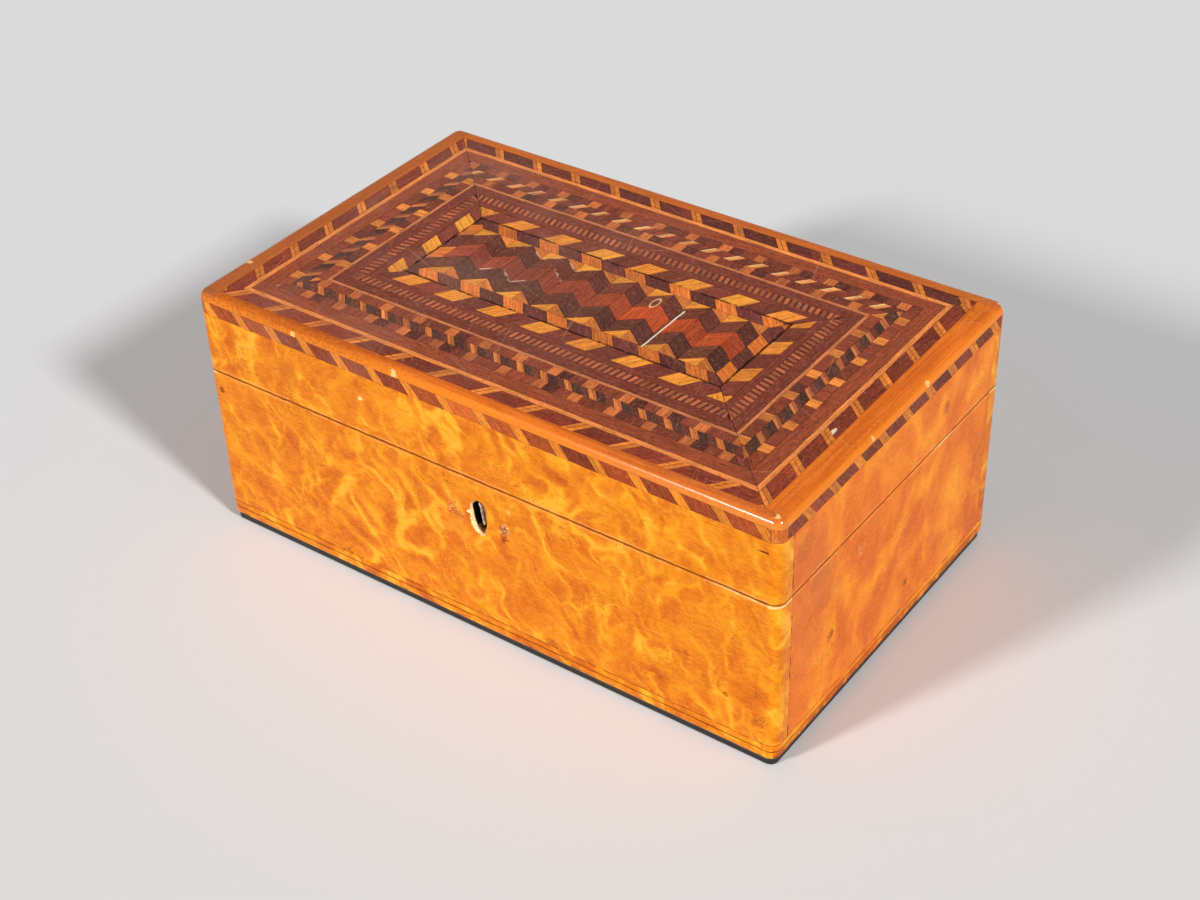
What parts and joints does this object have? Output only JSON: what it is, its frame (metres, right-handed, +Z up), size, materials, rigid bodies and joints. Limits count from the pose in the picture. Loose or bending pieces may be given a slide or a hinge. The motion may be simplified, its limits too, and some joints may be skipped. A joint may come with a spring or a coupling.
{
  "type": "lockable wooden box",
  "caption": "Rectangular hinged-lid wooden box with a keyhole in front, satinwood veneer, rounded edges and a parquetry lid of zigzags inside dashed and stepped borders.",
  "frame": {"origin": "middle of the underside of the bottom board, on the surface that the box stands on", "axes": "+X along the length, to the right seen from the keyhole side; +Y from the keyhole side to the hinges; +Z up"},
  "size_m": [0.254, 0.155, 0.107],
  "materials": {
    "satinwood": "french polished, worn",
    "satinwood_light": "french polished",
    "stringing": "french polished",
    "rosewood": "french polished",
    "red_wood": "french polished",
    "black_green_wood": "french polished",
    "carcase_wood": "planed, oiled",
    "black_stained_wood": "black stain",
    "old_brass": "dulled",
    "lock_steel": "oiled",
    "white_metal": "worn bright"
  },
  "bodies": {
    "case": {"back_veneer": "satinwood", "back_wall": "carcase_wood", "base_edging_back": "satinwood", "base_edging_front": "satinwood", "base_edging_left": "satinwood", "base_edging_right": "satinwood", "bottom_board": "black_stained_wood", "corner_strips": "satinwood", "front_veneer": "satinwood", "front_wall": "carcase_wood", "hinge_left_lower_leaf": "old_brass", "hinge_lower_screws": "old_brass", "hinge_pins": "old_brass", "hinge_right_lower_leaf": "old_brass", "keyhole_liner": "white_metal", "left_veneer": "satinwood", "left_wall": "carcase_wood", "lock_cap": "old_brass", "lock_case": "old_brass", "lock_key_pin": "lock_steel", "lock_screws": "old_brass", "right_veneer": "satinwood", "right_wall": "carcase_wood"},
    "lid": {"dash_dark_pieces": "rosewood", "dash_light_pieces": "satinwood_light", "edge_moulding_back": "satinwood", "edge_moulding_front": "satinwood", "edge_moulding_left": "satinwood", "edge_moulding_right": "satinwood", "field_dark_pieces": "black_green_wood", "field_light_pieces": "satinwood_light", "field_red_pieces": "red_wood", "hinge_left_upper_leaf": "old_brass", "hinge_right_upper_leaf": "old_brass", "hinge_upper_screws": "old_brass", "inner_string_pieces": "stringing", "lid_back_rail": "carcase_wood", "lid_back_veneer": "satinwood", "lid_corner_strips": "satinwood", "lid_front_rail": "carcase_wood", "lid_front_veneer": "satinwood", "lid_left_rail": "carcase_wood", "lid_left_veneer": "satinwood", "lid_right_rail": "carcase_wood", "lid_right_veneer": "satinwood", "lid_top_board": "carcase_wood", "outer_string_pieces": "stringing", "plain_border_pieces": "rosewood", "rope_bars_pieces": "red_wood", "rope_ground_pieces": "rosewood", "side_dark_pieces": "rosewood", "side_light_pieces": "satinwood_light", "stepped_dark_pieces": "black_green_wood", "stepped_light_pieces": "satinwood_light", "strike_plate": "old_brass", "strike_screws": "old_brass"},
    "bolt": {"lock_bolt": "lock_steel", "lock_spring": "lock_steel"}
  },
  "joints": [
    {"name": "lid_hinge", "type": "hinge", "parent": "case", "child": "lid", "pos_m": [0, 0.0753, 0.0725], "axis": [-1, 0, 0], "range_deg": [0, 100]},
    {"name": "bolt_slide", "type": "slide", "parent": "case", "child": "bolt", "axis": [1, 0, 0], "range_m": [0, 0.004]}
  ]
}
